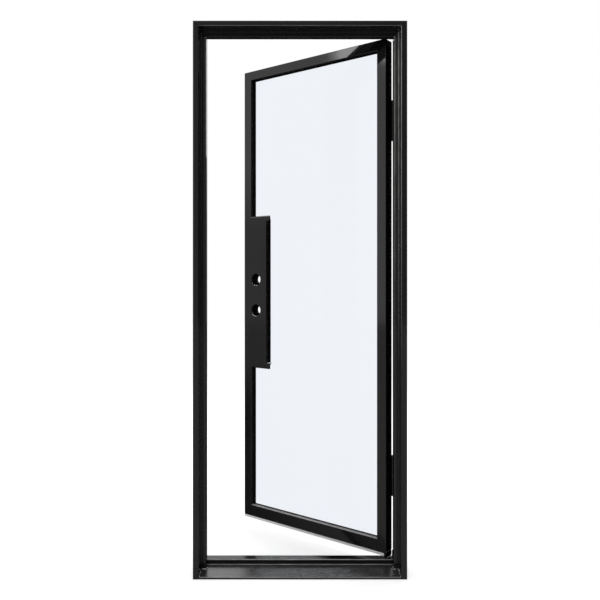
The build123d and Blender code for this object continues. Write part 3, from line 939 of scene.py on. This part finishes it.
# %% Bore linings and rims
lining_inner = 0.0266
lining_outer = 0.02697
lining_front = 0.0006
lining_back = 0.0464
collar_inner = 0.0242
collar_front = 0.0414
collar_taper_front = 0.0384
lining_profile = (
    (lining_inner, lining_front),
    (lining_outer, lining_front),
    (lining_outer, lining_back),
    (collar_inner, lining_back),
    (collar_inner, collar_front),
    (lining_inner, collar_taper_front),
)
rim_profile = ((0.0268, 0.0006), (0.0271, -0.0002), (0.0275, -0.0004), (0.028, -0.0003), (0.0285, 0.0003))
# Painted highlight: a bright arc at each rim's lower left, where the rim catches the light.
rim_highlight_profile = ((0.0262, 0.0012), (0.0266, -0.0002), (0.0274, -0.0007), (0.0282, -0.0006), (0.0288, 0.0003))
latch_opening = math.radians(60)
lining_start = math.pi + latch_opening / 2
rim_highlight_start = math.radians(70)
rim_highlight_turn = math.radians(85)

linings = bmesh.new()
rims = bmesh.new()
rim_highlights = bmesh.new()
for height in (lower_bore_height, lower_bore_height + bore_spacing):
    bore_ring(linings, height, lining_profile, lining_start, math.tau - latch_opening)
    bore_ring(rims, height, rim_profile)
    bore_ring(rim_highlights, height, rim_highlight_profile, rim_highlight_start, rim_highlight_turn)
finish_piece("bore_linings", linings, "leaf", "black_steel", finish=painted_bore_shade)
finish_piece("bore_rims", rims, "leaf", "black_steel")
finish_piece("bore_rim_highlights", rim_highlights, "leaf", "black_steel", finish=weld_finish_with_glints)

# %% [markdown]
# ## Screws
#
# The glazing beads and the sweep are held by countersunk screws with a cross recess. The construction has
# them as plain pins. Here one screw is modelled from its head down: the cross is a small square with an arm
# extruded from each side, the head is filled in round it, and the cross is then pressed in. The rim of the
# head is extruded to the cone, the shank and the point. A copy goes where each plain pin is, found by its
# longest axis and its wider end.

# %% One screw
head_radius = 0.0032
head_height = 0.0016
head_sides = 28
shank_radius = 0.00175
point_length = 0.0015
point_share = 0.3
arm_half_width = 0.00042
arm_reach = 0.0019
recess_depth = 0.0013
recess_floor_share = 0.6


def cross_screw(length):
    """A screw that points down, with the top of its head at the origin."""
    mesh = bmesh.new()
    bmesh.ops.create_grid(mesh, x_segments=1, y_segments=1, size=arm_half_width)
    for edge in list(mesh.edges):
        outward = (edge.verts[0].co + edge.verts[1].co).normalized()
        arm_end = made(bmesh.ops.extrude_edge_only(mesh, edges=[edge]), bmesh.types.BMVert)
        bmesh.ops.translate(mesh, verts=arm_end, vec=outward * (arm_reach - arm_half_width))
    cross = list(mesh.faces)
    cross_rim = [edge for edge in mesh.edges if len(edge.link_faces) == 1]
    circle = bmesh.ops.create_circle(mesh, segments=head_sides, radius=head_radius)
    rim = edges_of(circle["verts"])
    bmesh.ops.triangle_fill(mesh, use_beauty=True, edges=cross_rim + rim)
    pressed = bmesh.ops.extrude_face_region(mesh, geom=cross)
    bmesh.ops.delete(mesh, geom=[face for face in cross if face.is_valid], context="FACES_ONLY")
    recess_floor = made(pressed, bmesh.types.BMVert)
    bmesh.ops.translate(mesh, verts=recess_floor, vec=(0, 0, -recess_depth))
    bmesh.ops.scale(mesh, verts=recess_floor, vec=(recess_floor_share, recess_floor_share, 1))
    radius = head_radius
    for next_radius, drop in (
        (shank_radius, head_height),
        (shank_radius, length - head_height - point_length),
        (shank_radius * point_share, point_length),
    ):
        verts, rim = extruded(mesh, rim)
        narrowing = next_radius / radius
        bmesh.ops.scale(mesh, verts=verts, vec=(narrowing, narrowing, 1))
        bmesh.ops.translate(mesh, verts=verts, vec=(0, 0, -drop))
        radius = next_radius
    bmesh.ops.holes_fill(mesh, edges=rim, sides=0)
    data = bpy.data.meshes.new("screw_pattern")
    mesh.to_mesh(data)
    mesh.free()
    return data


print("a screw's head is", 2 * head_radius, "m wide")

# %% Screws in place
merge_distance = 0.000001
end_tolerance = 0.00002
down = Vector((0, 0, -1))


def islands(node):
    """The points of each separate solid in a node, as arrays."""
    mesh = bmesh.new()
    mesh.from_mesh(nodes[node].data)
    bmesh.ops.remove_doubles(mesh, verts=mesh.verts, dist=merge_distance)
    seen = set()
    found = []
    for first in mesh.verts:
        if first in seen:
            continue
        seen.add(first)
        reached = [first]
        for vert in reached:
            for edge in vert.link_edges:
                other = edge.other_vert(vert)
                if other not in seen:
                    seen.add(other)
                    reached.append(other)
        found.append(np.array([vert.co for vert in reached]))
    mesh.free()
    return found


def replace_screws(name, node):
    """Puts a modelled screw in the place of each plain pin of a node."""
    mesh = bmesh.new()
    for points in islands(node):
        middle = points.mean(axis=0)
        axis = np.linalg.svd(points - middle)[2][0]
        along = (points - middle) @ axis
        ends = [points[abs(along - limit) < end_tolerance] for limit in (along.min(), along.max())]
        head, tip = sorted(ends, key=lambda end: -np.ptp(end, axis=0).max())
        top = Vector(head.mean(axis=0))
        way = Vector(tip.mean(axis=0)) - top
        pattern = cross_screw(way.length)
        turn = down.rotation_difference(way).to_matrix().to_4x4()
        pattern.transform(close_leaf @ Matrix.Translation(top) @ turn)
        mesh.from_mesh(pattern)
        bpy.data.meshes.remove(pattern)
    screws = finish_piece(name, mesh, "leaf", "screw_steel")
    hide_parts(node)


replace_screws("bead_cross_screws", "bead_screws")
replace_screws("sweep_cross_screws", "sweep_screws")

# %% [markdown]
# ## The sweep's ribs and end caps
#
# The strip under the door has two round ribs along its front, drawn out with the strip itself, and above them a
# black carrier, a dark strip that paints the shadow gap under the rail. A flat cap closes it on the lock side, and
# a deeper boot on the hinge side, where the strip turns on the spot. A rib is one weld run without pools. The
# others are bevelled blocks, since rounded edges are all that shows of them.

# %% Ribs
sweep_low, sweep_high = closed_box("door_sweep")
rib_radius = 0.0013
rib_sunk = 0.0004
rib_rises = (0.0024, 0.0068)

ribs = bmesh.new()
for rise in rib_rises:
    left = (sweep_low.x, sweep_low.y + rib_sunk, sweep_low.z + rise)
    right = (sweep_high.x, sweep_low.y + rib_sunk, sweep_low.z + rise)
    weld_run(ribs, left, right, radius=rib_radius, pool=sweep_high.x, depth_share=0.0)
finish_piece("sweep_ribs", ribs, "leaf", "sweep_vinyl")

# %% Caps and carrier
block_edge = 0.0004
cap_thickness = 0.0014
boot_length = 0.008
boot_proud = 0.0002
boot_drop = 0.007
carrier_proud = 0.0012
carrier_height = 0.002


def bevelled_block(mesh, low, high):
    """A block between two corners, with its edges rounded."""
    low = Vector(low)
    high = Vector(high)
    verts = bmesh.ops.create_cube(mesh, size=1.0)["verts"]
    bmesh.ops.scale(mesh, verts=verts, vec=high - low)
    bmesh.ops.translate(mesh, verts=verts, vec=(low + high) / 2)
    bmesh.ops.bevel(
        mesh, geom=edges_of(verts), offset=block_edge, affect="EDGES", segments=2, profile=0.5, material=-1
    )


caps = bmesh.new()
cap_low = (sweep_low.x - cap_thickness, sweep_low.y, sweep_low.z)
cap_high = (sweep_low.x, sweep_high.y, sweep_high.z)
bevelled_block(caps, cap_low, cap_high)
boot_low = (sweep_high.x - boot_length, sweep_low.y - boot_proud, sweep_low.z - boot_drop)
boot_high = (sweep_high.x + cap_thickness, sweep_high.y - boot_proud, sweep_high.z)
bevelled_block(caps, boot_low, boot_high)
finish_piece("sweep_end_caps", caps, "leaf", "seal_rubber")

# A black strip that paints the shadow gap between the rail and the sweep.
carrier_shadow_strip = bmesh.new()
carrier_low = (sweep_low.x, sweep_low.y - carrier_proud, sweep_high.z - carrier_height)
carrier_high = (sweep_high.x, sweep_low.y + block_edge, sweep_high.z)
bevelled_block(carrier_shadow_strip, carrier_low, carrier_high)
finish_piece("sweep_carrier_shadow", carrier_shadow_strip, "leaf", "seal_rubber")

# %% [markdown]
# ## The packer
#
# The glass stands off the lock box's lower tab on a small pale packer, of which only the edge shows. Its pale edge
# also paints the highlight on the lit top of the tab. It could be a strip of pale paint on the tab, but from the
# side a packer has a thickness, so it is a small block.

# %% Packer
packer_width = 0.0172
packer_thickness = 0.003
packer_rise = 0.0232
packer_side_gap = 0.0004
packer_set_back = 0.0082
packer_glass_gap = 0.0005
lock_box_low, lock_box_high = closed_box("lock_box")
glass_front = closed_box("outer_pane")[0].y

packer_side = lock_box_high.x - packer_side_gap
packer_foot = lock_box_low.z + packer_rise
packer_low = (packer_side - packer_width, leaf_front + packer_set_back, packer_foot)
packer_high = (packer_side, glass_front - packer_glass_gap, packer_foot + packer_thickness)
# Pale block that also paints the highlight on the tab's lit top.
packer_highlight = bmesh.new()
bevelled_block(packer_highlight, packer_low, packer_high)
finish_piece("tab_packer_highlight", packer_highlight, "leaf", "sweep_vinyl")
